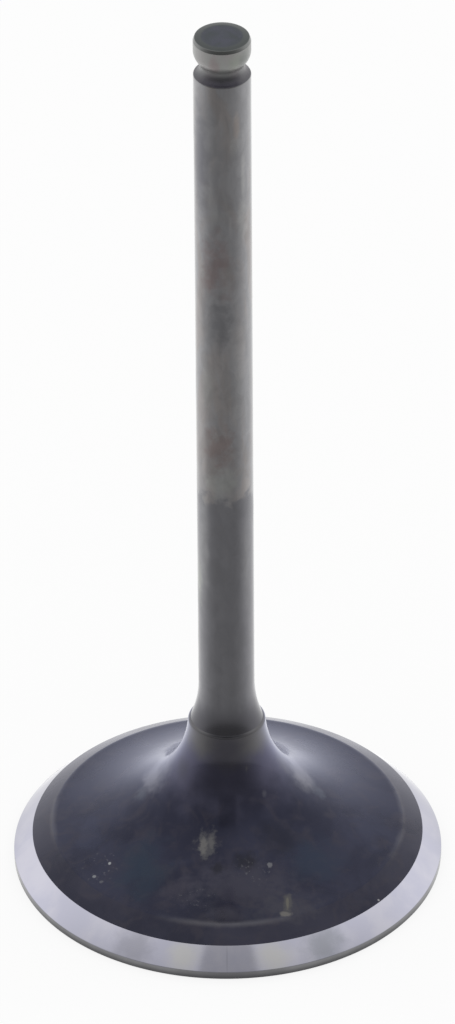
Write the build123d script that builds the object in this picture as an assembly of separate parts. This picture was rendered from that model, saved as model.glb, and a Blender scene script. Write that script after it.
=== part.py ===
from build123d import *
import math
import os

# Intake valve of a four-valve engine: one forged, turned and ground piece of steel, in millimetres.
# The origin is the centre of the combustion face, and +Z runs up the stem to the tip.
# The whole valve is one revolved section, drawn in the XZ plane with X as the radius.

# Overall
overall_length = 94.75
stem_radius = 2.75

# Head rim: the cylindrical margin, the ground 45-degree seat and the back cut behind it
head_radius = 21.15
margin_height = 0.85
margin_edge_break = 0.15
seat_width = 1.87            # measured along the radius
seat_angle = 45.0            # from the combustion face
back_cut_width = 2.0         # measured along the radius
back_cut_angle = 30.0

# Back of the head: a long sweep leaves the back cut at a shallow slope and steepens inwards,
# then the neck fillet takes over and turns it upright
neck_radius = 3.78           # where the neck fillet would stand upright
neck_fillet_radius = 11.0
under_head_angle = 12.0      # slope of the sweep where it meets the back cut
handover_angle = 39.0        # slope where the sweep gives way to the neck fillet
neck_edge_angle = 86.0       # slope of the neck where its rounded upper edge begins
neck_edge_round = 0.45

# Grinding run-out: the ground stem flares to a collar that ends just inside the forged neck's edge
run_out_length = 4.2
collar_radius = 3.55

# Tip: lapped end face with a shallow bevel round it, steep end chamfer and one round keeper groove
tip_face_radius = 2.05
tip_bevel_drop = 0.04
tip_chamfer_width = 0.14
tip_chamfer_height = 0.37
groove_below_tip = 3.15      # tip face to the centre of the groove
groove_bead_radius = 0.92
groove_depth = 0.64
land_shoulder_round = 1.8    # convex run from the tip land into the groove
groove_lower_round = 0.2

# Heights and radii that follow from the sizes above
seat_inner_radius = head_radius - seat_width
seat_top = margin_height + seat_width * math.tan(math.radians(seat_angle))
ridge_radius = seat_inner_radius - back_cut_width
ridge_height = seat_top + back_cut_width * math.tan(math.radians(back_cut_angle))
groove_height = overall_length - groove_below_tip
bevel_foot = overall_length - tip_bevel_drop


def sweep_handover():
    """Point where the long sweep hands over to the neck fillet."""
    outer = math.radians(under_head_angle)
    inner = math.radians(handover_angle)
    fillet_reach = neck_fillet_radius * (1 - math.sin(inner))
    reach = ridge_radius - neck_radius - fillet_reach
    radius = reach / (math.sin(inner) - math.sin(outer))
    rise = radius * (math.cos(outer) - math.cos(inner))
    return (neck_radius + fillet_reach, ridge_height + rise)


def neck_top(handover):
    """Point where the neck's rounded edge begins, and the crease where it meets the collar."""
    start = math.radians(handover_angle)
    end = math.radians(neck_edge_angle)
    edge_radius = neck_radius + neck_fillet_radius * (1 - math.sin(end))
    edge_height = handover[1] + neck_fillet_radius * (math.cos(start) - math.cos(end))
    centre_radius = edge_radius - neck_edge_round * math.sin(end)
    centre_height = edge_height - neck_edge_round * math.cos(end)
    inset = collar_radius - centre_radius
    crease_height = centre_height + math.sqrt(neck_edge_round ** 2 - inset ** 2)
    return (edge_radius, edge_height), (collar_radius, crease_height)


handover_point = sweep_handover()
neck_edge, crease = neck_top(handover_point)
stem_foot = (stem_radius, crease[1] + run_out_length)


def rim_outline():
    """Combustion face, margin, seat and back cut, from the axis out to the ridge."""
    return Polyline(
        (0, 0),
        (head_radius - margin_edge_break, 0),
        (head_radius, margin_edge_break),
        (head_radius, margin_height),
        (seat_inner_radius, seat_top),
        (ridge_radius, ridge_height),
    )


def back_outline():
    """Long sweep, neck fillet and rounded neck edge, from the ridge up to the collar's crease."""
    slope = math.radians(under_head_angle)
    leaving = (-math.cos(slope), math.sin(slope))
    sweep = TangentArc((ridge_radius, ridge_height), handover_point, tangent=leaving)
    neck_fillet = TangentArc(handover_point, neck_edge, tangent=sweep % 1)
    edge_round = TangentArc(neck_edge, crease, tangent=neck_fillet % 1)
    return [sweep, neck_fillet, edge_round]


def stem_outline():
    """Run-out, stem, end chamfer, bevel and tip face, from the collar's crease back to the axis."""
    run_out = TangentArc(stem_foot, crease, tangent=(0, -1))
    stem = Polyline(
        stem_foot,
        (stem_radius, bevel_foot - tip_chamfer_height),
        (stem_radius - tip_chamfer_width, bevel_foot),
        (tip_face_radius, overall_length),
        (0, overall_length),
        (0, 0),
    )
    return [run_out, stem]


def corner(section, radius, height):
    """The corner of the section that lies nearest to a radius and height."""
    target = Vector(radius, height)
    return section.vertices().sort_by_distance(target)[0]


def valve_section():
    """Half section of the whole valve, with its groove cut and the groove's lips rounded."""
    section = make_face([rim_outline()] + back_outline() + stem_outline())
    bead_centre = stem_radius - groove_depth + groove_bead_radius
    section -= Pos(bead_centre, groove_height) * Circle(groove_bead_radius)
    half_mouth = math.sqrt(groove_bead_radius ** 2 - (bead_centre - stem_radius) ** 2)
    upper_lip = corner(section, stem_radius, groove_height + half_mouth)
    section = fillet(upper_lip, land_shoulder_round)
    lower_lip = corner(section, stem_radius, groove_height - half_mouth)
    return fillet(lower_lip, groove_lower_round)


def make_valve():
    return revolve(Plane.XZ * valve_section(), Axis.Z, 360)


os.makedirs("parts", exist_ok=True)
valve = make_valve()
export_step(valve, "parts/valve.step")
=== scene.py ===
import math

import bmesh
import bpy
from mathutils import Matrix, Vector


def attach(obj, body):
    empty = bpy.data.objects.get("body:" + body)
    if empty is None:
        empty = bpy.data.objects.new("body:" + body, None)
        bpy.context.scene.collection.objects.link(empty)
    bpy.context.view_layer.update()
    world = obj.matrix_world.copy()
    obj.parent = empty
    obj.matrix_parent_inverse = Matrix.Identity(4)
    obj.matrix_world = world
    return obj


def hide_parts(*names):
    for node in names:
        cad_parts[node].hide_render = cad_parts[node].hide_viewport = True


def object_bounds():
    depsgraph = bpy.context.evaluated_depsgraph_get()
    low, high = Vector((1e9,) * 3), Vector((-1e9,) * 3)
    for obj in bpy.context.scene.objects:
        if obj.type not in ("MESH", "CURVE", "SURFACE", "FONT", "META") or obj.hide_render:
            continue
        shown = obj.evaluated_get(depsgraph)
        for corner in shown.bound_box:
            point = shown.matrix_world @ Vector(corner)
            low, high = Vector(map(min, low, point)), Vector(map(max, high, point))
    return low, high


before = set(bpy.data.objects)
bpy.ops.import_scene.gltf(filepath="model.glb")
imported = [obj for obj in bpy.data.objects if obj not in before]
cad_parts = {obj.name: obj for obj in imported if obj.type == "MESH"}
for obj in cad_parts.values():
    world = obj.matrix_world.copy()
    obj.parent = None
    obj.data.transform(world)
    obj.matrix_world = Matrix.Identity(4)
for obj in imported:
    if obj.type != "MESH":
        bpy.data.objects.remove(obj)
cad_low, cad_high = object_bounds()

# Intake valve of a four-valve engine, turned from one forging and finished zone by zone.
# The origin is the centre of the combustion face, and +Z runs up the stem to the tip. The outline is
# drawn in millimetres, spun about the stem and brought to metres at the end.
MM = 0.001

# ---------------------------------------------------------------- sizes, in millimetres
overall_length = cad_high.z / MM
head_radius = cad_high.x / MM
stem_radius = 2.75

margin_height = 0.85
margin_edge_break = 0.15
seat_width = 1.87
seat_angle = math.radians(45)
back_cut_width = 2.0
back_cut_angle = math.radians(30)

neck_radius = 3.78           # where the neck fillet would stand upright
neck_fillet_radius = 11.0
under_head_angle = math.radians(12)
handover_angle = math.radians(39)
neck_edge_angle = math.radians(86)
neck_edge_round = 0.45

run_out_length = 4.2
collar_radius = 3.55

tip_face_radius = 2.05
tip_bevel_drop = 0.04
tip_chamfer_width = 0.14
tip_chamfer_height = 0.37
groove_below_tip = 3.15
groove_bead_radius = 0.92
groove_depth = 0.64
land_shoulder_round = 1.8
groove_lower_round = 0.2

seat_inner_radius = head_radius - seat_width
seat_top = margin_height + seat_width * math.tan(seat_angle)
ridge_radius = seat_inner_radius - back_cut_width
ridge_height = seat_top + back_cut_width * math.tan(back_cut_angle)
groove_height = overall_length - groove_below_tip
bevel_foot = overall_length - tip_bevel_drop

# Small rounds on the corners of the outline: how far from its corner each one starts
margin_top_break = 0.06
seat_edge_break = 0.05
ridge_break = 0.16
chamfer_foot_break = 0.06
chamfer_top_break = 0.05
tip_face_break = 0.03
corner_segments = 3

# How finely the outline is drawn and spun
face_rings = (0.3, 0.65, 0.9)    # at these shares of the head's radius
edge_break_steps = 4
sweep_steps = 28
neck_fillet_steps = 28
neck_edge_steps = 8
run_out_steps = 12
stem_rings = 24
groove_lip_steps = 6
groove_steps = 18
shoulder_steps = 10
tip_ring = 0.5                   # at this share of the tip face's radius
turns = 320                      # faces round the valve
merge_distance = 0.0005
sharp_angle = math.radians(28)

# How the faces of the mesh are shared out among the zones
facing_down = -0.9               # the combustion face has all normals whose Z is below this
corner_slack = 0.02              # faces of a corner's round this near a zone's top go to the next zone

# ---------------------------------------------------------------- the turned outline


def line_to(bm, pen, radius, height):
    """A straight run from the pen's vertex; returns the vertex at its far end."""
    end = bmesh.ops.extrude_vert_indiv(bm, verts=[pen])["verts"][0]
    end.co = (radius, 0, height)
    return end


def arc_round(bm, pen, centre, turn, steps):
    """Sweeps the pen's vertex round a centre; a positive turn goes from +X towards +Z."""
    centre_point = (centre[0], 0, centre[1])
    swept = bmesh.ops.spin(bm, geom=[pen], cent=centre_point, axis=(0, -1, 0), angle=turn, steps=steps)
    return [item for item in swept["geom_last"] if isinstance(item, bmesh.types.BMVert)][0]


def round_corner(bm, corner, run):
    """Replaces a corner of the outline by a small round that starts a run away on each side."""
    bmesh.ops.bevel(bm, geom=[corner], offset=run, affect="VERTICES", segments=corner_segments,
                    profile=0.5, material=-1, clamp_overlap=True)


def draw_rim(bm):
    """Combustion face, margin, seat and back cut, from the axis out and up to the ridge."""
    pen = bm.verts.new((0, 0, 0))
    for share in face_rings:
        pen = line_to(bm, pen, head_radius * share, 0)
    break_start = head_radius - margin_edge_break
    pen = line_to(bm, pen, break_start, 0)
    pen = arc_round(bm, pen, (break_start, margin_edge_break), math.radians(90), edge_break_steps)
    margin_top = line_to(bm, pen, head_radius, margin_height)
    seat_edge = line_to(bm, margin_top, seat_inner_radius, seat_top)
    ridge = line_to(bm, seat_edge, ridge_radius, ridge_height)
    return ridge, [(margin_top, margin_top_break), (seat_edge, seat_edge_break), (ridge, ridge_break)]


def draw_back(bm, pen):
    """Long sweep, neck fillet and rounded neck edge, from the ridge up to the collar's crease."""
    fillet_reach = neck_fillet_radius * (1 - math.sin(handover_angle))
    reach = ridge_radius - neck_radius - fillet_reach
    sweep_radius = reach / (math.sin(handover_angle) - math.sin(under_head_angle))
    sweep_centre = (ridge_radius + sweep_radius * math.sin(under_head_angle),
                    ridge_height + sweep_radius * math.cos(under_head_angle))
    pen = arc_round(bm, pen, sweep_centre, under_head_angle - handover_angle, sweep_steps)
    handover_height = sweep_centre[1] - sweep_radius * math.cos(handover_angle)
    fillet_centre = (neck_radius + neck_fillet_radius,
                     handover_height + neck_fillet_radius * math.cos(handover_angle))
    pen = arc_round(bm, pen, fillet_centre, handover_angle - neck_edge_angle, neck_fillet_steps)
    centres_apart = neck_fillet_radius + neck_edge_round
    edge_centre = (fillet_centre[0] - centres_apart * math.sin(neck_edge_angle),
                   fillet_centre[1] - centres_apart * math.cos(neck_edge_angle))
    crease_turn = math.acos((collar_radius - edge_centre[0]) / neck_edge_round)
    crease_height = edge_centre[1] + neck_edge_round * math.sin(crease_turn)
    edge_turn = crease_turn - (math.radians(90) - neck_edge_angle)
    return arc_round(bm, pen, edge_centre, edge_turn, neck_edge_steps), crease_height


def draw_stem(bm, pen, crease_height):
    """Run-out from the collar, ground stem, keeper groove and the land's rounded shoulder."""
    flare = collar_radius - stem_radius
    run_out_radius = (flare ** 2 + run_out_length ** 2) / (2 * flare)
    run_out_turn = math.asin(run_out_length / run_out_radius)
    stem_foot = crease_height + run_out_length
    pen = arc_round(bm, pen, (stem_radius + run_out_radius, stem_foot), -run_out_turn, run_out_steps)

    lip = stem_radius - groove_lower_round
    bead = (stem_radius - groove_depth + groove_bead_radius, groove_height)
    lip_drop = math.sqrt((groove_bead_radius + groove_lower_round) ** 2 - (bead[0] - lip) ** 2)
    lip_turn = math.atan2(lip_drop, bead[0] - lip)
    shoulder = stem_radius - land_shoulder_round
    shoulder_rise = math.sqrt((groove_bead_radius + land_shoulder_round) ** 2 - (bead[0] - shoulder) ** 2)
    shoulder_turn = math.atan2(shoulder_rise, bead[0] - shoulder)

    stem_top = groove_height - lip_drop
    for ring in range(1, stem_rings + 1):
        pen = line_to(bm, pen, stem_radius, stem_foot + (stem_top - stem_foot) * ring / stem_rings)
    pen = arc_round(bm, pen, (lip, stem_top), lip_turn, groove_lip_steps)
    pen = arc_round(bm, pen, bead, -(lip_turn + shoulder_turn), groove_steps)
    return arc_round(bm, pen, (shoulder, groove_height + shoulder_rise), shoulder_turn, shoulder_steps)


def draw_tip(bm, pen):
    """Land, end chamfer, shallow bevel and lapped face, back to the axis."""
    chamfer_foot = line_to(bm, pen, stem_radius, bevel_foot - tip_chamfer_height)
    chamfer_top = line_to(bm, chamfer_foot, stem_radius - tip_chamfer_width, bevel_foot)
    face_edge = line_to(bm, chamfer_top, tip_face_radius, overall_length)
    pen = line_to(bm, face_edge, tip_face_radius * tip_ring, overall_length)
    line_to(bm, pen, 0, overall_length)
    return [(chamfer_foot, chamfer_foot_break), (chamfer_top, chamfer_top_break),
            (face_edge, tip_face_break)]


def turn_valve():
    """Draws the outline, rounds its corners and spins it once round the stem's axis."""
    bm = bmesh.new()
    ridge, corners = draw_rim(bm)
    crease, crease_height = draw_back(bm, ridge)
    shoulder = draw_stem(bm, crease, crease_height)
    corners += draw_tip(bm, shoulder)
    for corner, run in corners:
        round_corner(bm, corner, run)
    outline = bm.verts[:] + bm.edges[:]
    bmesh.ops.spin(bm, geom=outline, cent=(0, 0, 0), axis=(0, 0, 1), angle=2 * math.pi,
                   steps=turns, use_merge=True)
    bmesh.ops.remove_doubles(bm, verts=bm.verts[:], dist=merge_distance)
    bmesh.ops.recalc_face_normals(bm, faces=bm.faces[:])
    return bm, crease_height


def finish_zone(face, crease_height):
    """Name of the zone that a face of the valve belongs to, by its slope, height and radius."""
    centre = face.calc_center_median()
    radius = math.hypot(centre.x, centre.y)
    if face.normal.z < facing_down:
        return "face"
    if centre.z < margin_height - corner_slack:
        return "margin"
    if centre.z < seat_top - corner_slack and radius > seat_inner_radius:
        return "seat"
    if radius > ridge_radius:
        return "back cut"
    if centre.z < crease_height:
        return "head back"
    if centre.z < groove_height - groove_bead_radius:
        return "stem"
    if centre.z < bevel_foot - tip_chamfer_height:
        return "land"
    return "tip"


# ---------------------------------------------------------------- helpers for node trees


def feed(tree, socket, value):
    """Links the output of another node into a socket, or sets the socket to a plain value."""
    if isinstance(value, bpy.types.NodeSocket):
        tree.links.new(value, socket)
    else:
        socket.default_value = value


def add_node(tree, kind, inputs=None, **settings):
    """A new node, with its settings made first and its inputs fed after them."""
    node = tree.nodes.new(kind)
    for name, value in settings.items():
        setattr(node, name, value)
    for name, value in (inputs or {}).items():
        feed(tree, node.inputs[name], value)
    return node


def maths(tree, operation, *values, clamp=False):
    """The result of one sum on one, two or three values."""
    inputs = dict(enumerate(values))
    return add_node(tree, "ShaderNodeMath", inputs, operation=operation, use_clamp=clamp).outputs[0]


def mix(tree, kind, share, first, second):
    """A mix of two colours or two values; the kind is Color or Float, as the node's sockets say."""
    node = add_node(tree, "ShaderNodeMix", data_type={"Color": "RGBA", "Float": "FLOAT"}[kind])
    wanted = {"Factor_Float": share, "A_" + kind: first, "B_" + kind: second}
    for socket in node.inputs:
        if socket.identifier in wanted:
            feed(tree, socket, wanted[socket.identifier])
    return next(socket for socket in node.outputs if socket.identifier == "Result_" + kind)


def tones(tree, share, first, second):
    """A colour that drifts from one tone of steel to another."""
    return mix(tree, "Color", share, (*first, 1), (*second, 1))


def lay(tree, colour, shade, mask, weight=1.0):
    """Lays a shade over a colour where a mask is, as strongly as its weight says."""
    return mix(tree, "Color", maths(tree, "MULTIPLY", mask, weight), colour, (*shade, 1))


def span(tree, value, low, high, to_low=0.0, to_high=1.0):
    """Carries a value smoothly from one span to another, held inside it."""
    inputs = {"Value": value, "From Min": low, "From Max": high, "To Min": to_low, "To Max": to_high}
    return add_node(tree, "ShaderNodeMapRange", inputs, interpolation_type="SMOOTHSTEP").outputs["Result"]


def between(tree, mask, low, high):
    """A value that goes from low, outside a mask, to high inside it."""
    return span(tree, mask, 0.0, 1.0, low, high)


def noise(tree, position, scale, detail, roughness=0.5, warp=0.0):
    """Clouded noise, around 0.5, over a position in millimetres."""
    inputs = {"Vector": position, "Scale": scale, "Detail": detail, "Roughness": roughness,
              "Distortion": warp}
    return add_node(tree, "ShaderNodeTexNoise", inputs).outputs["Fac"]


def sway(tree, value, cloud, reach):
    """Moves a value up and down with a noise, by half its reach either way."""
    return maths(tree, "MULTIPLY_ADD", maths(tree, "SUBTRACT", cloud, 0.5), reach, value)


def split(tree, vector):
    """The X, Y and Z of a vector."""
    return add_node(tree, "ShaderNodeSeparateXYZ", {"Vector": vector}).outputs


def new_group(name, inputs, outputs):
    """A shader node group with named sockets; returns the tree, its input node and its output node."""
    tree = bpy.data.node_groups.new(name, "ShaderNodeTree")
    kinds = {"value": "NodeSocketFloat", "vector": "NodeSocketVector"}
    for label, kind, default in inputs:
        socket = tree.interface.new_socket(name=label, in_out="INPUT", socket_type=kinds[kind])
        if default is not None:
            socket.default_value = default
    for label, kind in outputs:
        tree.interface.new_socket(name=label, in_out="OUTPUT", socket_type=kinds[kind])
    return tree, tree.nodes.new("NodeGroupInput"), tree.nodes.new("NodeGroupOutput")


def place_group(tree, group, inputs):
    """The outputs of a group that is placed in a tree with its own inputs."""
    return add_node(tree, "ShaderNodeGroup", inputs, node_tree=group).outputs


# ---------------------------------------------------------------- shared effects


def lathe_place_group():
    """Radius, height and distance along the turned surface of a point, in millimetres."""
    tree, given, made = new_group("lathe_place", [("Position", "vector", None)],
                                  [("Radius", "value"), ("Height", "value"), ("Travel", "value")])
    parts = split(tree, given.outputs["Position"])
    across = maths(tree, "ADD", maths(tree, "MULTIPLY", parts["X"], parts["X"]),
                   maths(tree, "MULTIPLY", parts["Y"], parts["Y"]))
    radius = maths(tree, "SQRT", across)
    tree.links.new(radius, made.inputs["Radius"])
    tree.links.new(parts["Z"], made.inputs["Height"])
    tree.links.new(maths(tree, "SUBTRACT", radius, parts["Z"]), made.inputs["Travel"])
    return tree


def turning_marks_group():
    """Fine grooves that a tool or wheel leaves round the part, deeper in some places than in others."""
    tree, given, made = new_group("turning_marks", [
        ("Position", "vector", None), ("Travel", "value", 0.0), ("Grooves per mm", "value", 8.0),
        ("Unevenness", "value", 0.5)], [("Height", "value")])
    travel = maths(tree, "MULTIPLY", given.outputs["Travel"], given.outputs["Grooves per mm"])
    grooves = add_node(tree, "ShaderNodeTexNoise", {"W": travel, "Scale": 1.0, "Detail": 3.0,
                       "Roughness": 0.6}, noise_dimensions="1D").outputs["Fac"]
    cloud = noise(tree, given.outputs["Position"], scale=0.35, detail=2.0)
    weight = sway(tree, 1.0, cloud, given.outputs["Unevenness"])
    tree.links.new(maths(tree, "MULTIPLY", grooves, weight), made.inputs["Height"])
    return tree


def mottle_group():
    """Soft clouded patches, from 0 to 1, with their own size, stretch and sharpness."""
    tree, given, made = new_group("mottle", [
        ("Position", "vector", None), ("Stretch", "vector", (1.0, 1.0, 1.0)), ("Scale", "value", 0.2),
        ("Detail", "value", 4.0), ("Low", "value", 0.4), ("High", "value", 0.6), ("Warp", "value", 0.4)],
        [("Mask", "value")])
    stretched = add_node(tree, "ShaderNodeVectorMath", {0: given.outputs["Position"],
                         1: given.outputs["Stretch"]}, operation="MULTIPLY").outputs["Vector"]
    cloud = noise(tree, stretched, given.outputs["Scale"], given.outputs["Detail"], roughness=0.55,
                  warp=given.outputs["Warp"])
    mask = span(tree, cloud, given.outputs["Low"], given.outputs["High"])
    tree.links.new(mask, made.inputs["Mask"])
    return tree


def edge_band_group():
    """A worn line round the part: a band at one place of a radius or height, broken up by grain."""
    tree, given, made = new_group("edge_band", [
        ("Position", "vector", None), ("Place", "value", 0.0), ("Line", "value", 0.0),
        ("Half width", "value", 0.2), ("Breaks", "value", 0.4)], [("Mask", "value")])
    off = maths(tree, "ABSOLUTE", maths(tree, "SUBTRACT", given.outputs["Place"], given.outputs["Line"]))
    grain = noise(tree, given.outputs["Position"], scale=0.9, detail=4.0)
    uneven = sway(tree, 1.0, grain, given.outputs["Breaks"])
    width = maths(tree, "MULTIPLY", given.outputs["Half width"], uneven)
    share = maths(tree, "SUBTRACT", 1.0, maths(tree, "DIVIDE", off, width), clamp=True)
    tree.links.new(span(tree, share, 0.0, 1.0), made.inputs["Mask"])
    return tree


def ragged_patch_group():
    """One ragged mark at a chosen place, from 0 outside to 1 at its middle."""
    tree, given, made = new_group("ragged_patch", [
        ("Position", "vector", None), ("Centre", "vector", (0.0, 0.0, 0.0)),
        ("Size", "vector", (1.0, 1.0, 1.0)), ("Softness", "value", 0.4), ("Raggedness", "value", 0.5),
        ("Grain", "value", 0.8)], [("Mask", "value")])
    away = add_node(tree, "ShaderNodeVectorMath", {0: given.outputs["Position"],
                    1: given.outputs["Centre"]}, operation="SUBTRACT").outputs["Vector"]
    scaled = add_node(tree, "ShaderNodeVectorMath", {0: away, 1: given.outputs["Size"]},
                      operation="DIVIDE").outputs["Vector"]
    reach = add_node(tree, "ShaderNodeVectorMath", {0: scaled}, operation="LENGTH").outputs["Value"]
    grain = noise(tree, given.outputs["Position"], given.outputs["Grain"], detail=5.0, roughness=0.6)
    ragged = sway(tree, reach, grain, given.outputs["Raggedness"])
    inner = maths(tree, "SUBTRACT", 1.0, given.outputs["Softness"])
    tree.links.new(span(tree, ragged, 1.0, inner), made.inputs["Mask"])
    return tree


shared = {
    "place": lathe_place_group(),
    "marks": turning_marks_group(),
    "mottle": mottle_group(),
    "edge": edge_band_group(),
    "ragged_patch": ragged_patch_group(),
}


def mottle(tree, position, **values):
    """Clouded patches placed in a finish; the names are the group's own, in small letters."""
    inputs = {name.capitalize(): value for name, value in values.items()}
    return place_group(tree, shared["mottle"], {"Position": position, **inputs})["Mask"]


def ragged_patch(tree, position, centre, size, softness, raggedness, grain):
    """One ragged mark placed in a finish, by its centre and half size."""
    inputs = {"Position": position, "Centre": centre, "Size": size, "Softness": softness,
              "Raggedness": raggedness, "Grain": grain}
    return place_group(tree, shared["ragged_patch"], inputs)["Mask"]


def edge_band(tree, position, place, line, half_width, breaks):
    """A line round the part placed in a finish, where its radius or height is that of the line."""
    inputs = {"Position": position, "Place": place, "Line": line, "Half width": half_width, "Breaks": breaks}
    return place_group(tree, shared["edge"], inputs)["Mask"]


def turning_marks(tree, shader, position, place, per_mm, strength, depth):
    """Bumps a shader with the grooves of a tool or wheel, so many to a millimetre and so deep."""
    inputs = {"Position": position, "Travel": place["Travel"], "Grooves per mm": per_mm}
    grooves = place_group(tree, shared["marks"], inputs)["Height"]
    inputs = {"Height": grooves, "Strength": strength, "Distance": depth * MM}
    normal = add_node(tree, "ShaderNodeBump", inputs).outputs["Normal"]
    tree.links.new(normal, shader.inputs["Normal"])


# ---------------------------------------------------------------- finishes
# Every list of stains and painted light has these columns: centre, half size, colour, weight, raggedness,
# grain
patch_softness = 0.85
dust_softness = 0.6


def steel_base(name, glancing=(1.0, 1.0, 1.0)):
    """A bare metal material: it, its tree and shader, the position in millimetres and the lathe place."""
    material = bpy.data.materials.new(name)
    material.use_nodes = True
    tree = material.node_tree
    shader = tree.nodes["Principled BSDF"]
    shader.inputs["Metallic"].default_value = 1.0
    shader.inputs["Specular Tint"].default_value = (*glancing, 1)
    coordinates = tree.nodes.new("ShaderNodeTexCoord").outputs["Object"]
    scale = (1 / MM, 1 / MM, 1 / MM)
    position = add_node(tree, "ShaderNodeMapping", {"Vector": coordinates, "Scale": scale}).outputs["Vector"]
    place = place_group(tree, shared["place"], {"Position": position})
    return material, tree, shader, position, place


def add_stains_and_painted_light(tree, position, colour, stains):
    """Lays a list of stains and painted light over a colour, one after another."""
    for centre, size, shade, weight, raggedness, grain in stains:
        mask = ragged_patch(tree, position, centre, size, patch_softness, raggedness, grain)
        colour = lay(tree, colour, shade, mask, weight)
    return colour


# The ground stem: its shades, and the heights between which one gives way to the next
cool_grey, warm_grey = (0.255, 0.254, 0.263), (0.258, 0.243, 0.240)
patch_grey = (0.312, 0.311, 0.309)
lower_stem_grey = (0.170, 0.169, 0.181, 1)
streak_grey, blotch_grey = (0.1, 0.1, 0.11), (0.09, 0.09, 0.095)
# the stem's foot and the run-out to the collar are darkened with painted shade
stem_foot_painted_shade, collar_painted_shade = (0.075, 0.075, 0.085), (0.088, 0.087, 0.097)
upper_stem_start = (43.2, 44.4)
stem_foot_shade_start = (21.5, 17.0)
collar_shade_start = (19.6, 17.2)
stem_border_reach = 5.0              # how far the ragged borders wander up and down
stem_stains = [
    ((1.3, -2.4, 86.2), (0.5, 0.6, 2.2), (0.35, 0.31, 0.29), 0.7, 1.2, 1.0),
    ((1.9, -2.0, 80.5), (0.35, 0.4, 4.5), (0.33, 0.33, 0.33), 0.6, 1.2, 0.9),
    ((-2.2, -1.6, 82.5), (1.5, 2.0, 9.5), (0.140, 0.140, 0.155), 0.9, 0.9, 0.6),
    ((1.8, -2.1, 75.5), (0.8, 0.9, 3.4), (0.30, 0.30, 0.30), 0.7, 1.6, 0.7),
    ((-0.8, -2.6, 70.5), (1.9, 1.4, 4.6), (0.205, 0.165, 0.165), 0.8, 2.2, 0.6),
    ((-0.4, -2.7, 64.2), (1.5, 1.2, 3.6), (0.155, 0.155, 0.165), 0.75, 2.2, 0.7),
    ((1.6, -2.2, 61.5), (1.0, 1.2, 5.0), (0.30, 0.29, 0.29), 0.6, 2.0, 0.8),
    ((-1.6, -2.2, 57.0), (1.2, 1.0, 4.0), (0.27, 0.27, 0.265), 0.6, 2.0, 0.8),
    ((-0.6, -2.7, 49.9), (1.8, 1.4, 3.4), (0.21, 0.17, 0.165), 0.75, 2.2, 0.8),
    ((-0.3, -2.7, 45.9), (2.4, 1.6, 2.2), (0.275, 0.28, 0.27), 0.7, 1.8, 0.9),
    ((-2.1, -1.7, 38.0), (0.9, 1.2, 9.0), (0.240, 0.240, 0.245), 0.6, 1.2, 0.5),
    ((2.0, -1.9, 36.0), (0.8, 1.0, 8.0), (0.215, 0.215, 0.222), 0.5, 1.2, 0.5),
    ((-2.6, -0.7, 33.5), (0.9, 1.6, 3.6), (0.26, 0.27, 0.25), 0.8, 1.2, 0.6),
]


def stem_steel():
    """Ground stem: grey above and bluish below, with brown and greenish heat stains and wheel marks."""
    material, tree, shader, position, place = steel_base("ground_stem")
    clouds = mottle(tree, position, stretch=(1.0, 1.0, 0.4), scale=0.3, detail=5.0, low=0.42, high=0.6,
                    warp=0.7)
    patches = mottle(tree, position, stretch=(1.0, 1.0, 0.3), scale=0.45, detail=4.0, low=0.52, high=0.72,
                     warp=0.5)
    upper = lay(tree, tones(tree, clouds, cool_grey, warm_grey), patch_grey, patches, weight=0.6)
    border = noise(tree, position, scale=0.7, detail=5.0, warp=0.5)
    ragged = sway(tree, place["Height"], border, stem_border_reach)
    colour = mix(tree, "Color", span(tree, ragged, *upper_stem_start), lower_stem_grey, upper)
    streaks = mottle(tree, position, stretch=(1.0, 1.0, 0.06), scale=0.9, detail=3.0, low=0.3, high=0.8,
                     warp=0.2)
    colour = lay(tree, colour, streak_grey, streaks, weight=0.2)
    colour = add_stains_and_painted_light(tree, position, colour, stem_stains)
    blotches = mottle(tree, position, stretch=(1.0, 1.0, 0.55), scale=0.8, detail=5.0, low=0.3, high=0.7,
                      warp=0.8)
    colour = lay(tree, colour, blotch_grey, blotches, weight=0.22)
    # painted shade towards the stem's foot and down the run-out into the collar
    colour = lay(tree, colour, stem_foot_painted_shade, span(tree, ragged, *stem_foot_shade_start), weight=0.3)
    collar_shade = span(tree, place["Height"], *collar_shade_start)
    colour = lay(tree, colour, collar_painted_shade, collar_shade, weight=0.85)
    tree.links.new(colour, shader.inputs["Base Color"])
    tree.links.new(between(tree, patches, low=0.17, high=0.26), shader.inputs["Roughness"])
    turning_marks(tree, shader, position, place, per_mm=6.0, strength=0.1, depth=0.02)
    return material
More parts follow.
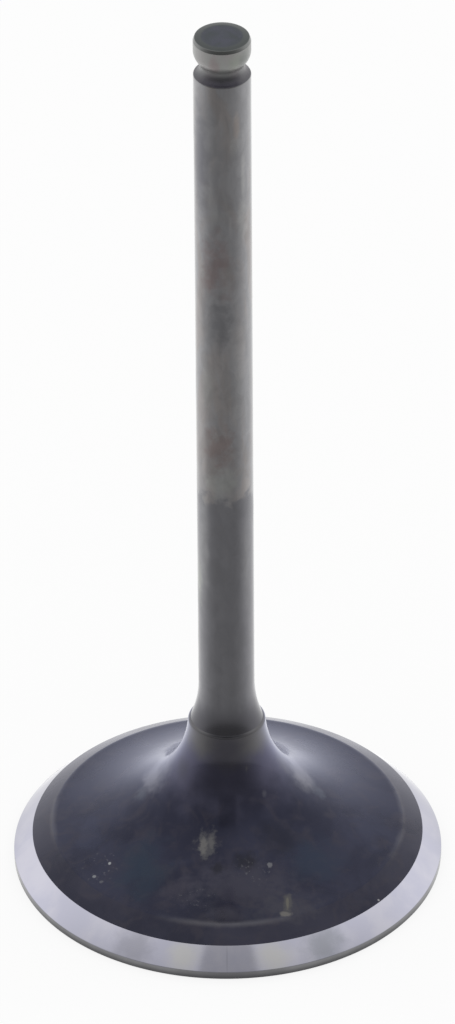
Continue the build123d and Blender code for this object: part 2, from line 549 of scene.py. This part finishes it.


# The back of the head, with its patches of skin and light wear, and with painted reflections beside the neck
# and painted shade at its front
head_stains_and_painted_light = [
    # the front of the neck darkened: painted shade, for the dim room it mirrors in front
    ((0.0, -4.0, 15.2), (2.9, 2.0, 3.0), (0.054, 0.052, 0.065), 0.95, 0.5, 0.6),
    ((-4.6, -2.6, 12.0), (1.5, 1.8, 1.6), (0.040, 0.040, 0.050), 0.45, 1.0, 0.6),
    ((0.0, -16.2, 4.2), (2.3, 1.6, 1.0), (0.056, 0.054, 0.070), 0.8, 1.0, 0.6),
    ((4.9, -7.9, 7.4), (3.0, 3.0, 2.4), (0.010, 0.011, 0.022), 0.8, 1.6, 0.5),
    ((-5.0, -13.3, 5.0), (2.6, 2.4, 1.4), (0.040, 0.037, 0.052), 0.5, 2.0, 0.5),
    ((1.8, -12.9, 5.5), (7.5, 4.0, 3.0), (0.034, 0.033, 0.049), 0.8, 2.6, 0.5),
    ((5.5, -15.0, 4.3), (4.0, 2.5, 2.0), (0.040, 0.039, 0.050), 0.6, 2.4, 0.7),
    ((1.9, -10.6, 6.4), (1.7, 1.5, 1.2), (0.010, 0.010, 0.017), 0.8, 1.8, 0.8),
    ((-1.0, -11.2, 6.1), (0.9, 0.8, 0.8), (0.010, 0.010, 0.016), 0.7, 1.8, 1.2),
    ((-8.5, -10.0, 5.5), (4.0, 4.5, 3.0), (0.014, 0.024, 0.042), 0.8, 1.6, 0.35),
    ((8.5, -9.0, 6.0), (4.0, 4.0, 3.0), (0.016, 0.024, 0.044), 0.7, 1.6, 0.35),
    ((-13.5, -3.5, 5.0), (2.5, 4.0, 2.0), (0.030, 0.034, 0.062), 0.4, 2.2, 0.5),
    ((13.8, -3.0, 5.0), (2.5, 4.5, 2.0), (0.030, 0.034, 0.062), 0.3, 2.2, 0.5),
    # pale patches beside the neck: partly worn metal, partly a painted reflection of lights behind the valve
    ((-7.3, 0.6, 8.9), (1.7, 2.0, 1.7), (0.110, 0.110, 0.130), 0.4, 1.2, 0.8),
    ((-5.6, 0.2, 11.0), (1.4, 1.6, 1.8), (0.110, 0.110, 0.130), 0.4, 1.2, 0.8),
    ((7.1, 0.4, 9.1), (1.8, 2.0, 1.7), (0.110, 0.108, 0.122), 0.4, 1.2, 0.8),
    ((5.5, -0.3, 11.2), (1.4, 1.6, 1.8), (0.110, 0.108, 0.115), 0.4, 1.2, 0.8),
    ((-7.0, 0.9, 8.9), (2.8, 3.6, 2.7), (0.210, 0.210, 0.240), 0.5, 1.4, 0.4),
    ((7.1, 0.9, 8.8), (2.8, 3.6, 2.7), (0.210, 0.208, 0.228), 0.5, 1.4, 0.4),
    ((9.2, -0.4, 7.6), (1.4, 1.4, 1.0), (0.070, 0.078, 0.098), 0.5, 1.8, 1.1),
    ((-8.6, -1.2, 7.8), (1.0, 1.2, 1.0), (0.070, 0.078, 0.098), 0.5, 1.8, 1.1),
    ((1.9, -4.2, 13.0), (0.14, 0.5, 0.5), (0.12, 0.12, 0.13), 0.7, 0.8, 1.6),
    ((3.6, -4.7, 10.4), (0.35, 0.5, 0.6), (0.09, 0.09, 0.11), 0.6, 1.2, 1.6),
]
# Dust and fingerprints on it, which are dull
head_dust = [
    ((-2.0, -8.9, 7.3), (1.3, 1.7, 1.8), (0.062, 0.060, 0.060), 0.6, 2.2, 1.3),
    ((-2.4, -9.1, 7.2), (0.5, 1.2, 1.2), (0.130, 0.125, 0.116), 0.65, 1.8, 1.8),
    ((-1.6, -8.8, 7.4), (0.4, 0.8, 0.9), (0.105, 0.101, 0.097), 0.5, 1.8, 2.0),
    ((5.8, -14.5, 4.3), (0.55, 1.5, 0.8), (0.055, 0.052, 0.045), 0.6, 1.6, 1.4),
    ((5.8, -14.6, 4.3), (0.2, 1.1, 0.6), (0.13, 0.12, 0.09), 0.6, 1.1, 1.8),
    ((5.6, -15.9, 4.0), (0.8, 0.4, 0.5), (0.15, 0.14, 0.12), 0.65, 1.2, 1.8),
    ((4.1, -10.6, 6.05), (0.30, 0.42, 0.35), (0.16, 0.16, 0.17), 0.6, 2.0, 2.4),
    ((-11.6, -8.4, 4.75), (0.2, 0.24, 0.22), (0.38, 0.39, 0.40), 0.8, 0.5, 1.8),
    ((-13.1, -9.7, 4.1), (0.24, 0.24, 0.22), (0.24, 0.25, 0.26), 0.7, 0.8, 1.8),
    ((-12.4, -10.6, 4.1), (0.26, 0.22, 0.2), (0.10, 0.10, 0.11), 0.5, 1.4, 2.2),
    ((14.75, -12.2, 2.85), (0.16, 0.16, 0.16), (0.4, 0.4, 0.4), 0.7, 0.3, 1.2),
]
# Places with a thin scatter of fine dust: centre, half size
dusty_places = [
    ((-12.6, -8.6, 4.7), (3.0, 3.6, 1.8)),
    ((2.6, -11.4, 5.9), (3.0, 2.2, 1.4)),
    ((-3.5, -14.2, 4.7), (3.2, 2.0, 1.2)),
]

# Its shades, and the heights between which one gives way to the next
fleck_brown = (0.036, 0.032, 0.042)
neck_blue, neck_grey = (0.064, 0.063, 0.099), (0.098, 0.096, 0.101)
crease_painted_light, crease_painted_shade = (0.120, 0.120, 0.130), (0.022, 0.022, 0.026)
ridge_wear_and_highlight = (0.19, 0.185, 0.19)
dust_grey = (0.095, 0.095, 0.105)
neck_blue_start = (8.3, 12.8)
neck_grey_start = (12.5, 15.5)
crease_painted_shade_start = (16.35, 16.43)
crease_painted_light_line = 16.31
head_border_reach = 4.0              # how far the ragged borders wander up and down
outer_skin_start = (8.0, 13.0)       # radii between which the skin grows duller
back_wear_start = (-9.0, -3.0)       # depths between which the wear begins that goes round the back
# the ridge is brightened by wear all round, and in front also by a painted highlight
front_wear_and_highlight, back_wear, least_back_wear = 0.22, 0.16, 0.02
fine_dust_weight = 0.45
dust_roughness = 0.3                 # what full dust adds to the roughness


def shade_neck(tree, position, place, colour):
    """Bluish and then greyer steel from the sweep up the neck, with a ragged border."""
    border = noise(tree, position, scale=0.35, detail=4.0)
    ragged = sway(tree, place["Height"], border, head_border_reach)
    colour = lay(tree, colour, neck_blue, span(tree, ragged, *neck_blue_start))
    return lay(tree, colour, neck_grey, span(tree, ragged, *neck_grey_start))


def paint_crease_light_and_shade(tree, position, place, colour):
    """Evens out the neck's rounded edge in front with painted light and shade: a painted highlight a little
    below and painted shade in the crease.
    """
    front = ragged_patch(tree, position, centre=(0.0, -3.8, 16.3), size=(3.4, 2.4, 1.6), softness=0.7,
                  raggedness=0.1, grain=0.8)
    band = edge_band(tree, position, place["Height"], line=crease_painted_light_line, half_width=0.08, breaks=0.0)
    colour = lay(tree, colour, crease_painted_light, band, front)
    return lay(tree, colour, crease_painted_shade, span(tree, place["Height"], *crease_painted_shade_start), front)


def brighten_ridge_wear_and_highlight(tree, position, place, colour):
    """Bright wear on the ridge, patchy from the sides to the back, and strongest in front, where it is also
    a painted highlight.
    """
    ridge = edge_band(tree, position, place["Radius"], line=ridge_radius, half_width=0.5, breaks=1.0)
    front = ragged_patch(tree, position, centre=(0.0, -17.3, 3.9), size=(8.5, 3.5, 3.0), softness=0.7,
                  raggedness=0.6, grain=0.5)
    patches = mottle(tree, position, scale=0.16, detail=4.0, low=0.42, high=0.62, warp=0.3)
    patches = maths(tree, "MULTIPLY_ADD", patches, back_wear, least_back_wear)
    behind = span(tree, split(tree, position)["Y"], *back_wear_start)
    brightening = maths(tree, "MULTIPLY_ADD", front, front_wear_and_highlight, maths(tree, "MULTIPLY", patches, behind))
    return lay(tree, colour, ridge_wear_and_highlight, ridge, brightening)


def dust_head(tree, position, colour):
    """Marks and fine specks of dust; returns the colour and how dusty each place is."""
    dust = 0.0
    for centre, size, shade, weight, raggedness, grain in head_dust:
        mark = ragged_patch(tree, position, centre, size, dust_softness, raggedness, grain)
        mark = maths(tree, "MULTIPLY", mark, weight)
        colour = lay(tree, colour, shade, mark)
        dust = maths(tree, "MAXIMUM", dust, mark)
    specks = mottle(tree, position, scale=2.6, detail=2.0, low=0.6, high=0.72, warp=0.3)
    for centre, size in dusty_places:
        place = ragged_patch(tree, position, centre, size, softness=0.8, raggedness=0.8, grain=0.8)
        scatter = maths(tree, "MULTIPLY", maths(tree, "MULTIPLY", place, specks), fine_dust_weight)
        colour = lay(tree, colour, dust_grey, scatter)
        dust = maths(tree, "MAXIMUM", dust, scatter)
    return colour, dust


def dark_steel(name, glancing, deep, pale):
    """Back of the head and neck: near-black heat-treated skin under a thin gloss, greyer up the neck, with
    painted reflections, highlights and shade in places.
    """
    material, tree, shader, position, place = steel_base(name, glancing)
    shader.inputs["Coat Weight"].default_value = 0.3
    shader.inputs["Coat Roughness"].default_value = 0.1
    clouds = mottle(tree, position, scale=0.14, detail=5.0, low=0.38, high=0.66, warp=0.6)
    flecks = mottle(tree, position, scale=0.5, detail=5.0, low=0.45, high=0.7, warp=0.9)
    colour = lay(tree, tones(tree, clouds, deep, pale), fleck_brown, flecks, weight=0.4)
    colour = shade_neck(tree, position, place, colour)
    colour = add_stains_and_painted_light(tree, position, colour, head_stains_and_painted_light)
    colour = paint_crease_light_and_shade(tree, position, place, colour)
    colour = brighten_ridge_wear_and_highlight(tree, position, place, colour)
    colour, dust = dust_head(tree, position, colour)
    tree.links.new(colour, shader.inputs["Base Color"])
    tree.links.new(maths(tree, "SUBTRACT", 1.0, dust), shader.inputs["Metallic"])
    outer = span(tree, place["Radius"], *outer_skin_start, to_low=0.14, to_high=0.26)
    rough = maths(tree, "ADD", between(tree, clouds, low=0.0, high=0.06), outer)
    rough = maths(tree, "MULTIPLY_ADD", dust, dust_roughness, rough)
    tree.links.new(rough, shader.inputs["Roughness"])
    turning_marks(tree, shader, position, place, per_mm=3.0, strength=0.06, depth=0.02)
    return material


# The ground seat
seat_cool, seat_warm = (0.43, 0.43, 0.51), (0.48, 0.475, 0.54)
# paler and darker patches and a thin dark line in front: painted reflections of the studio
seat_painted_reflections = [
    ((-4.4, -19.7, 1.8), (2.5, 2.0, 2.5), (0.490, 0.487, 0.487), 0.9, 0.7, 0.6),
    ((4.4, -19.7, 1.8), (2.5, 2.0, 2.5), (0.485, 0.482, 0.480), 0.9, 0.7, 0.6),
    ((-9.2, -18.0, 1.8), (3.0, 3.0, 2.5), (0.310, 0.310, 0.360), 0.8, 1.0, 0.6),
    ((9.4, -17.9, 1.8), (3.0, 3.0, 2.5), (0.275, 0.285, 0.320), 0.8, 1.0, 0.6),
    ((-0.15, -20.2, 1.8), (0.14, 2.0, 2.0), (0.370, 0.370, 0.430), 0.7, 0.2, 0.6),
]


def seat_steel():
    """Ground seat: bright, with fine wheel marks round it and painted reflections as paler and darker
    patches in front.
    """
    material, tree, shader, position, place = steel_base("ground_seat", glancing=(0.8, 0.8, 0.8))
    clouds = mottle(tree, position, scale=0.25, detail=4.0, low=0.35, high=0.65, warp=0.3)
    colour = tones(tree, clouds, seat_cool, seat_warm)
    colour = add_stains_and_painted_light(tree, position, colour, seat_painted_reflections)
    tree.links.new(colour, shader.inputs["Base Color"])
    tree.links.new(between(tree, clouds, low=0.06, high=0.1), shader.inputs["Roughness"])
    turning_marks(tree, shader, position, place, per_mm=9.0, strength=0.1, depth=0.015)
    return material


# The turned margin
margin_dark, margin_pale = (0.290, 0.290, 0.300), (0.350, 0.350, 0.360)
# the margin's darkening in front and at its foot is painted shade
margin_front_painted_shade, margin_foot_painted_shade = (0.185, 0.185, 0.195), (0.08, 0.08, 0.085)
margin_fade = 0.1                    # the foot's shade begins and ends this far inside the margin


def margin_steel():
    """Turned margin round the rim, with painted shade: darker in front and towards the combustion face."""
    material, tree, shader, position, place = steel_base("turned_margin")
    shader.inputs["Roughness"].default_value = 0.22
    clouds = mottle(tree, position, scale=0.3, detail=4.0, low=0.35, high=0.65, warp=0.3)
    colour = tones(tree, clouds, margin_dark, margin_pale)
    front = ragged_patch(tree, position, centre=(0.0, -21.1, 0.4), size=(7.0, 3.0, 2.0), softness=0.9,
                  raggedness=0.3, grain=0.6)
    colour = lay(tree, colour, margin_front_painted_shade, front, weight=0.8)
    foot = span(tree, place["Height"], margin_height - margin_fade, margin_fade)
    colour = lay(tree, colour, margin_foot_painted_shade, foot, weight=0.7)
    tree.links.new(colour, shader.inputs["Base Color"])
    turning_marks(tree, shader, position, place, per_mm=7.0, strength=0.15, depth=0.02)
    return material


# The combustion face
face_dark, face_pale = (0.26, 0.26, 0.27), (0.29, 0.29, 0.30)


def face_steel():
    """Combustion face: fine turned rings on grey steel."""
    material, tree, shader, position, place = steel_base("turned_face")
    clouds = mottle(tree, position, scale=0.12, detail=5.0, low=0.35, high=0.65, warp=0.4)
    colour = tones(tree, clouds, face_dark, face_pale)
    tree.links.new(colour, shader.inputs["Base Color"])
    tree.links.new(between(tree, clouds, low=0.28, high=0.34), shader.inputs["Roughness"])
    turning_marks(tree, shader, position, place, per_mm=1.6, strength=0.4, depth=0.05)
    return material


# The tip land and its groove: their shades, and the heights at which they change
land_green, land_brown = (0.300, 0.305, 0.295), (0.315, 0.300, 0.300)
groove_painted_shade, lip_bright = (0.052, 0.050, 0.062), (0.30, 0.30, 0.31)
shoulder_top = groove_height + 1.2
groove_throat = groove_height + 0.1
groove_bottom = groove_height - 0.9
lip_line = groove_height - 1.02
# the groove's darkening is painted shade, stronger in front
side_groove_shade, front_groove_shade = 0.8, 0.2    # how strong the dark is at the sides; more in front
film_share = 0.6                     # how far the film on the land hides the bare metal
shoulder_roughness = 0.04            # what the groove adds to the roughness
land_stains = [
    ((-0.8, -2.6, 92.9), (0.8, 0.9, 1.5), (0.270, 0.232, 0.232), 0.8, 1.4, 1.0),
    ((1.3, -2.4, 93.2), (1.0, 1.0, 1.5), (0.285, 0.305, 0.270), 0.8, 1.4, 1.0),
    ((2.1, -1.7, 93.2), (1.1, 1.3, 1.8), (0.190, 0.200, 0.190), 0.8, 1.0, 1.0),
]


def land_steel():
    """Tip land and keeper groove: dull ground steel with brown and green-grey tints, and painted shade in
    the groove.
    """
    material, tree, shader, position, place = steel_base("ground_land")
    height = place["Height"]
    clouds = mottle(tree, position, stretch=(1.0, 1.0, 0.3), scale=0.5, detail=4.0, low=0.4, high=0.6,
                    warp=0.4)
    colour = tones(tree, clouds, land_green, land_brown)
    colour = add_stains_and_painted_light(tree, position, colour, land_stains)
    # painted shade down into the groove
    groove = span(tree, height, shoulder_top, groove_bottom)
    front = ragged_patch(tree, position, centre=(0.0, -2.6, groove_height), size=(3.0, 2.8, 3.0), softness=0.6,
                  raggedness=0.6, grain=0.8)
    darkness = maths(tree, "MULTIPLY_ADD", front, front_groove_shade, side_groove_shade)
    colour = lay(tree, colour, groove_painted_shade, groove, darkness)
    lip = edge_band(tree, position, height, line=lip_line, half_width=0.1, breaks=0.4)
    colour = lay(tree, colour, lip_bright, lip)
    tree.links.new(colour, shader.inputs["Base Color"])
    # a dull film lies on the land and thins out down the groove
    film = maths(tree, "SUBTRACT", 1.0, groove)
    tree.links.new(maths(tree, "MULTIPLY_ADD", film, -film_share, 1.0), shader.inputs["Metallic"])
    shoulder = span(tree, height, shoulder_top, groove_throat)
    clouded = between(tree, clouds, low=0.34, high=0.4)
    rough = maths(tree, "MULTIPLY_ADD", shoulder, shoulder_roughness, clouded)
    tree.links.new(rough, shader.inputs["Roughness"])
    turning_marks(tree, shader, position, place, per_mm=6.0, strength=0.12, depth=0.02)
    return material


# The hardened end
tip_blue, tip_violet = (0.041, 0.047, 0.053), (0.048, 0.051, 0.068)
bevel_grey, chamfer_grey = (0.062, 0.068, 0.068), (0.170, 0.174, 0.172)
bevel_start = (tip_face_radius - 0.25, tip_face_radius + 0.1)    # radii
chamfer_start = (bevel_foot + 0.01, bevel_foot - 0.03)           # heights


def tip_steel():
    """Hardened end: dark blue-green skin, darkest on the lapped disc and palest on the chamfer."""
    material, tree, shader, position, place = steel_base("hardened_tip")
    clouds = mottle(tree, position, scale=0.6, detail=4.0, low=0.35, high=0.65, warp=0.4)
    colour = tones(tree, clouds, tip_blue, tip_violet)
    colour = lay(tree, colour, bevel_grey, span(tree, place["Radius"], *bevel_start))
    colour = lay(tree, colour, chamfer_grey, span(tree, place["Height"], *chamfer_start))
    tree.links.new(colour, shader.inputs["Base Color"])
    tree.links.new(between(tree, clouds, low=0.16, high=0.26), shader.inputs["Roughness"])
    turning_marks(tree, shader, position, place, per_mm=6.0, strength=0.08, depth=0.02)
    return material


# ---------------------------------------------------------------- the valve


def make_valve():
    """Turns the valve, finishes it zone by zone and gives it to the frame's one body."""
    finishes = {
        "face": face_steel(),
        "margin": margin_steel(),
        "seat": seat_steel(),
        "back cut": dark_steel("dark_back_cut", glancing=(0.94, 0.94, 1.0),
                               deep=(0.0145, 0.015, 0.028), pale=(0.025, 0.025, 0.041)),
        "head back": dark_steel("dark_head_back", glancing=(0.84, 0.86, 1.0),
                                deep=(0.0115, 0.0125, 0.027), pale=(0.020, 0.0215, 0.041)),
        "stem": stem_steel(),
        "land": land_steel(),
        "tip": tip_steel(),
    }
    zones = list(finishes)
    bm, crease_height = turn_valve()
    for face in bm.faces:
        face.smooth = True
        face.material_index = zones.index(finish_zone(face, crease_height))
    bmesh.ops.scale(bm, vec=(MM, MM, MM), verts=bm.verts[:])
    mesh = bpy.data.meshes.new("turned_valve")
    bm.to_mesh(mesh)
    bm.free()
    mesh.set_sharp_from_angle(angle=sharp_angle)
    for zone in zones:
        mesh.materials.append(finishes[zone])
    valve = bpy.data.objects.new("turned_valve", mesh)
    bpy.context.scene.collection.objects.link(valve)
    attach(valve, "root")
    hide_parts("valve")


# ---------------------------------------------------------------- floor, air, lamps and camera

# Brightness of the studio as metal mirrors it, where 1 is white
upper_room_front, upper_room_back = 0.7, 1.17
low_room_front, low_room_back = 0.27, 1.32
paper_front = 0.6            # of the floor in front; behind, it is as bright as the low room
far_paper_change = -0.5
camera_shade_change = -0.34

# Where the parts of the room lie, in directions that are 1 long
front_end = -0.95            # depth at which the dim front ends
upper_back_start, low_back_start = 0.1, 0.5
low_room_start = (0.75, 0.3)
camera_shade_half_width = 0.3
camera_shade_edge = 0.045
camera_shade_foot = (0.45, 0.6)
camera_shade_top = (0.93, 0.86)
least_ahead = 0.02           # keeps the shade's slant finite at the sides
far_paper_start = (-0.05, -0.4)    # in metres in front of the valve

white = (1, 1, 1, 1)
paper_white = (0.8, 0.8, 0.8, 1)
carried_light = 0.75         # brightness of the air for rays that only carry light
paper_shading = 0.14         # share of the floor's white that shows the valve's shadow

floor_level = -0.1 * MM
floor_rings = (20.0 * MM, 0.05, 0.3, 6.0)    # radii; the first is a hole that lets light reach the face
floor_segments = 64

# Lamps and camera, in metres, watts, millimetres of lens and radians
lamp_reach, lamp_depth, lamp_height = 1.1, 0.9, 0.9
lamp_size = 0.9
lamp_power = 3.0
camera_lens, camera_sensor = 349.6455, 36.0
camera_clip = (0.05, 50.0)
camera_place = (0.0, -0.79354865, 0.5854155)
camera_yaw, camera_pitch, camera_roll = 0.000268, 0.601579, -0.0071115


def room_group(name, back_start):
    """Brightness of the room in a direction: dim in front, where the camera stands, and full at the back."""
    tree, given, made = new_group(name, [
        ("Direction", "vector", None), ("Front", "value", 0.5), ("Back", "value", 1.0)],
        [("Brightness", "value")])
    depth = span(tree, split(tree, given.outputs["Direction"])["Y"], front_end, back_start)
    gain = maths(tree, "SUBTRACT", given.outputs["Back"], given.outputs["Front"])
    level = maths(tree, "MULTIPLY_ADD", depth, gain, given.outputs["Front"])
    tree.links.new(level, made.inputs["Brightness"])
    return tree


def camera_shade(tree, parts):
    """The dark upright shape of a camera on its stand, in front of the valve: 1 in its directions."""
    ahead = maths(tree, "MAXIMUM", maths(tree, "MULTIPLY", parts["Y"], -1.0), least_ahead)
    slant = maths(tree, "DIVIDE", maths(tree, "ABSOLUTE", parts["X"]), ahead)
    outside = camera_shade_half_width + camera_shade_edge
    inside = camera_shade_half_width - camera_shade_edge
    upright = maths(tree, "MULTIPLY", span(tree, parts["Z"], *camera_shade_foot),
                    span(tree, parts["Z"], *camera_shade_top))
    return maths(tree, "MULTIPLY", span(tree, slant, outside, inside), upright)


def ray_kinds(tree):
    """Two masks: rays from the camera, off metal or through glass, and rays from the camera only."""
    path = tree.nodes.new("ShaderNodeLightPath").outputs
    shown = maths(tree, "ADD", path["Is Camera Ray"], path["Is Glossy Ray"])
    return maths(tree, "ADD", shown, path["Is Transmission Ray"], clamp=True), path["Is Camera Ray"]


def make_air(low_room):
    """White air to look at, a studio to mirror, and an even pale light for everything in it."""
    world = bpy.data.worlds.new("studio_air")
    world.use_nodes = True
    world.cycles.sampling_method = "NONE"
    tree = world.node_tree
    tree.nodes.clear()
    shown, camera = ray_kinds(tree)
    direction = tree.nodes.new("ShaderNodeTexCoord").outputs["Generated"]
    parts = split(tree, direction)
    inputs = {"Direction": direction, "Front": upper_room_front, "Back": upper_room_back}
    upper = place_group(tree, room_group("upper_room", upper_back_start), inputs)["Brightness"]
    shading = maths(tree, "MULTIPLY_ADD", camera_shade(tree, parts), camera_shade_change, 1.0)
    upper = maths(tree, "MULTIPLY", upper, shading)
    inputs = {"Direction": direction, "Front": low_room_front, "Back": low_room_back}
    lower = place_group(tree, low_room, inputs)["Brightness"]
    mirrored = mix(tree, "Float", span(tree, parts["Z"], *low_room_start), upper, lower)
    strength = mix(tree, "Float", camera, mirrored, 1.0)
    backdrop = add_node(tree, "ShaderNodeBackground", {"Color": white, "Strength": strength})
    light = add_node(tree, "ShaderNodeBackground", {"Color": white, "Strength": carried_light})
    mixed = add_node(tree, "ShaderNodeMixShader", {0: shown, 1: light.outputs[0], 2: backdrop.outputs[0]})
    output = tree.nodes.new("ShaderNodeOutputWorld")
    tree.links.new(mixed.outputs[0], output.inputs["Surface"])
    bpy.context.scene.world = world


def floor_paper(low_room):
    """White paper: seen as white with the valve's soft shadow on it, and clear from below."""
    material = bpy.data.materials.new("white_paper")
    material.use_nodes = True
    material.cycles.emission_sampling = "NONE"
    tree = material.node_tree
    tree.nodes.clear()
    shown, camera = ray_kinds(tree)
    coordinates = tree.nodes.new("ShaderNodeTexCoord").outputs["Object"]
    level = add_node(tree, "ShaderNodeVectorMath", {0: coordinates, 1: (1.0, 1.0, 0.0)},
                     operation="MULTIPLY").outputs["Vector"]
    away = add_node(tree, "ShaderNodeVectorMath", {0: level}, operation="NORMALIZE").outputs["Vector"]
    inputs = {"Direction": away, "Front": paper_front, "Back": low_room_back}
    mirrored = place_group(tree, low_room, inputs)["Brightness"]
    far = span(tree, split(tree, level)["Y"], *far_paper_start)
    mirrored = maths(tree, "MULTIPLY", mirrored, maths(tree, "MULTIPLY_ADD", far, far_paper_change, 1.0))
    # seen by the camera, the glow and the paper's own shading add up to white
    strength = maths(tree, "SUBTRACT", mix(tree, "Float", camera, mirrored, 1.0), paper_shading)
    glow = add_node(tree, "ShaderNodeEmission", {"Color": white, "Strength": strength})
    shade = add_node(tree, "ShaderNodeBsdfDiffuse", {"Color": (*[paper_shading] * 3, 1)})
    both = add_node(tree, "ShaderNodeAddShader", {0: glow.outputs[0], 1: shade.outputs[0]})
    paper = add_node(tree, "ShaderNodeBsdfDiffuse", {"Color": paper_white})
    top = add_node(tree, "ShaderNodeMixShader", {0: shown, 1: paper.outputs[0], 2: both.outputs[0]})
    clear = tree.nodes.new("ShaderNodeBsdfTransparent")
    below = tree.nodes.new("ShaderNodeNewGeometry").outputs["Backfacing"]
    sided = add_node(tree, "ShaderNodeMixShader", {0: below, 1: top.outputs[0], 2: clear.outputs[0]})
    output = tree.nodes.new("ShaderNodeOutputMaterial")
    tree.links.new(sided.outputs[0], output.inputs["Surface"])
    return material


def make_floor(low_room):
    """A wide round sheet with a hole under the head, grown ring by ring from the hole's edge."""
    bm = bmesh.new()
    bmesh.ops.create_circle(bm, segments=floor_segments, radius=floor_rings[0], cap_ends=False)
    rim = bm.edges[:]
    for inner, outer in zip(floor_rings, floor_rings[1:]):
        grown = bmesh.ops.extrude_edge_only(bm, edges=rim)["geom"]
        ring = [item for item in grown if isinstance(item, bmesh.types.BMVert)]
        bmesh.ops.scale(bm, vec=(outer / inner, outer / inner, 1), verts=ring)
        rim = [edge for edge in bm.edges if edge.verts[0] in ring and edge.verts[1] in ring]
    bmesh.ops.translate(bm, vec=(0, 0, floor_level), verts=bm.verts[:])
    bmesh.ops.recalc_face_normals(bm, faces=bm.faces[:])
    if bm.faces[:][0].normal.z < 0:
        bmesh.ops.reverse_faces(bm, faces=bm.faces[:])
    mesh = bpy.data.meshes.new("paper_floor")
    bm.to_mesh(mesh)
    bm.free()
    mesh.materials.append(floor_paper(low_room))
    floor = bpy.data.objects.new("paper_floor", mesh)
    bpy.context.scene.collection.objects.link(floor)


def make_lamp(name, side):
    """A large soft square lamp aimed at the middle of the valve, and not mirrored in it."""
    data = bpy.data.lights.new(name, "AREA")
    data.shape = "SQUARE"
    data.size = lamp_size
    data.energy = lamp_power
    lamp = bpy.data.objects.new(name, data)
    place = Vector((side * lamp_reach, lamp_depth, lamp_height))
    aim = Vector((0, 0, overall_length * MM / 2)) - place
    lamp.matrix_world = Matrix.Translation(place) @ aim.to_track_quat("-Z", "Y").to_matrix().to_4x4()
    lamp.visible_camera = False
    lamp.visible_glossy = False
    bpy.context.scene.collection.objects.link(lamp)


def make_camera():
    """Long lens, looking down on the valve from the front, as a catalogue view is taken."""
    data = bpy.data.cameras.new("catalogue_camera")
    data.lens = camera_lens
    data.sensor_width = camera_sensor
    data.clip_start, data.clip_end = camera_clip
    camera = bpy.data.objects.new("catalogue_camera", data)
    camera.matrix_world = (Matrix.Translation(camera_place) @ Matrix.Rotation(-camera_yaw, 4, "Z")
                           @ Matrix.Rotation(math.pi / 2 - camera_pitch, 4, "X")
                           @ Matrix.Rotation(camera_roll, 4, "Z"))
    bpy.context.scene.collection.objects.link(camera)
    bpy.context.scene.camera = camera


make_valve()
low_room_light = room_group("low_room", low_back_start)
make_air(low_room_light)
make_floor(low_room_light)
make_lamp("soft_lamp_left", -1)
make_lamp("soft_lamp_right", 1)
make_camera()
bpy.context.scene.view_settings.view_transform = "Standard"
